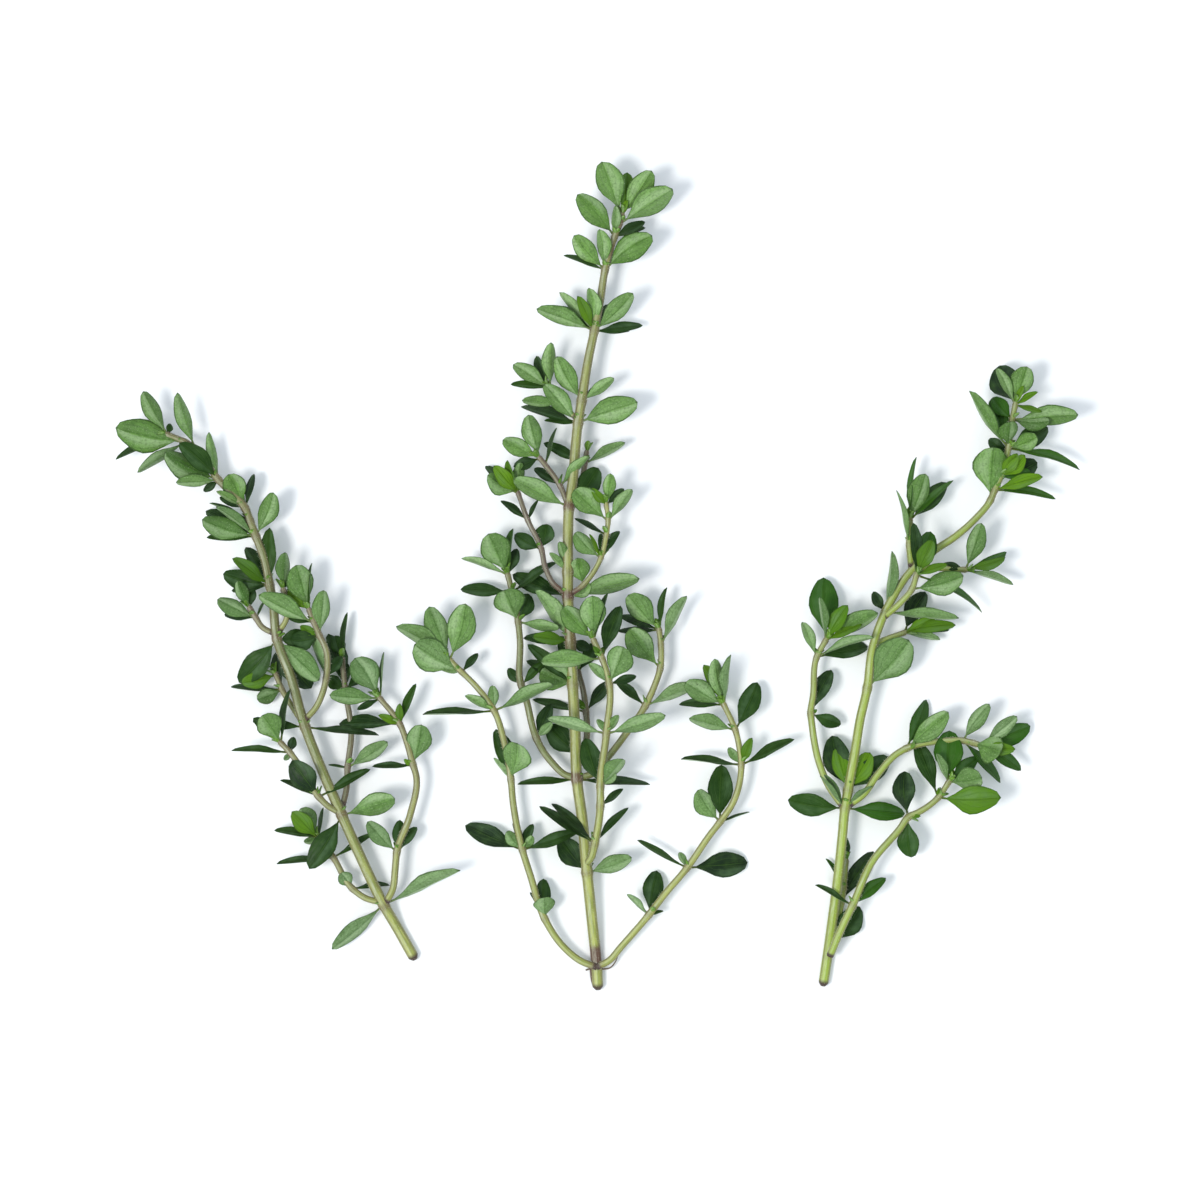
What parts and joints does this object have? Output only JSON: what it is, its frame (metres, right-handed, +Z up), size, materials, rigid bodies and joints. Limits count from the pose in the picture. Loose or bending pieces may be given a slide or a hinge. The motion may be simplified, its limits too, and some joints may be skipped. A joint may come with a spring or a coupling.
{
  "type": "thyme bundle",
  "caption": "Fresh cut thyme laid flat in a fan: slender branching stems with pairs of small oval leaves and young leaf tufts, loose and untied.",
  "frame": {"origin": "on the resting surface, at the middle of the bundle's box", "axes": "+Z up off the surface the sprigs lie on, +Y from the cut ends towards the tips, +X across the fan"},
  "size_m": [0.1608, 0.138, 0.014],
  "materials": {
    "middle_sprig": "matte fresh leaf, mid green above and paler grey-green below, on yellow-green to brown stems",
    "left_sprig": "matte fresh leaf, deeper green, on yellow-green to brown stems",
    "right_sprig": "matte fresh leaf, bright green, on yellow-green stems"
  },
  "bodies": {
    "root": {"middle_main_stem": "middle_sprig", "middle_low_left_shoot": "middle_sprig", "middle_low_right_shoot": "middle_sprig", "middle_front_shoot": "middle_sprig", "middle_back_shoot": "middle_sprig", "middle_left_second_shoot": "middle_sprig", "middle_right_second_shoot": "middle_sprig", "middle_left_third_shoot": "middle_sprig", "middle_right_third_shoot": "middle_sprig", "middle_left_fourth_shoot": "middle_sprig", "middle_right_fourth_shoot": "middle_sprig", "middle_left_fifth_shoot": "middle_sprig", "left_main_stem": "left_sprig", "left_low_left_shoot": "left_sprig", "left_low_right_shoot": "left_sprig", "left_second_shoot": "left_sprig", "left_brown_shoot": "left_sprig", "left_back_shoot": "left_sprig", "left_third_shoot": "left_sprig", "left_fourth_shoot": "left_sprig", "left_fifth_shoot": "left_sprig", "right_main_stem": "right_sprig", "right_low_front_shoot": "right_sprig", "right_low_back_shoot": "right_sprig", "right_left_shoot": "right_sprig", "right_second_shoot": "right_sprig", "right_third_back_shoot": "right_sprig", "right_front_fork_shoot": "right_sprig", "right_up_shoot": "right_sprig", "right_cluster_shoot": "right_sprig"}
  },
  "joints": []
}
